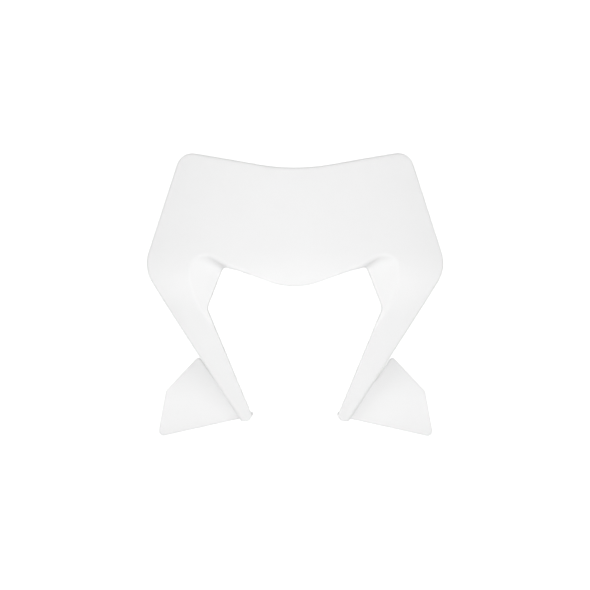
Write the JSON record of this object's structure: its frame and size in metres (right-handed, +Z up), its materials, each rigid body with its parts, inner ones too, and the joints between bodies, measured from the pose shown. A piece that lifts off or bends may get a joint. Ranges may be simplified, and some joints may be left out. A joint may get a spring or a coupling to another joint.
{
  "type": "headlight mask",
  "caption": "White moulded motorbike headlight mask: curved shield with a dipped top, lip over an open lamp gap, tapering legs with swept-back side wings.",
  "frame": {"origin": "midway between the two lamp screws, at the seats of their bosses", "axes": "+X to the right seen from the front, +Y to the rear along the lamp screws, +Z up"},
  "size_m": [0.2922, 0.0823, 0.2827],
  "materials": {
    "white_plastic": "satin moulded polypropylene"
  },
  "bodies": {
    "root": {"headlight_mask": "white_plastic"}
  },
  "joints": []
}
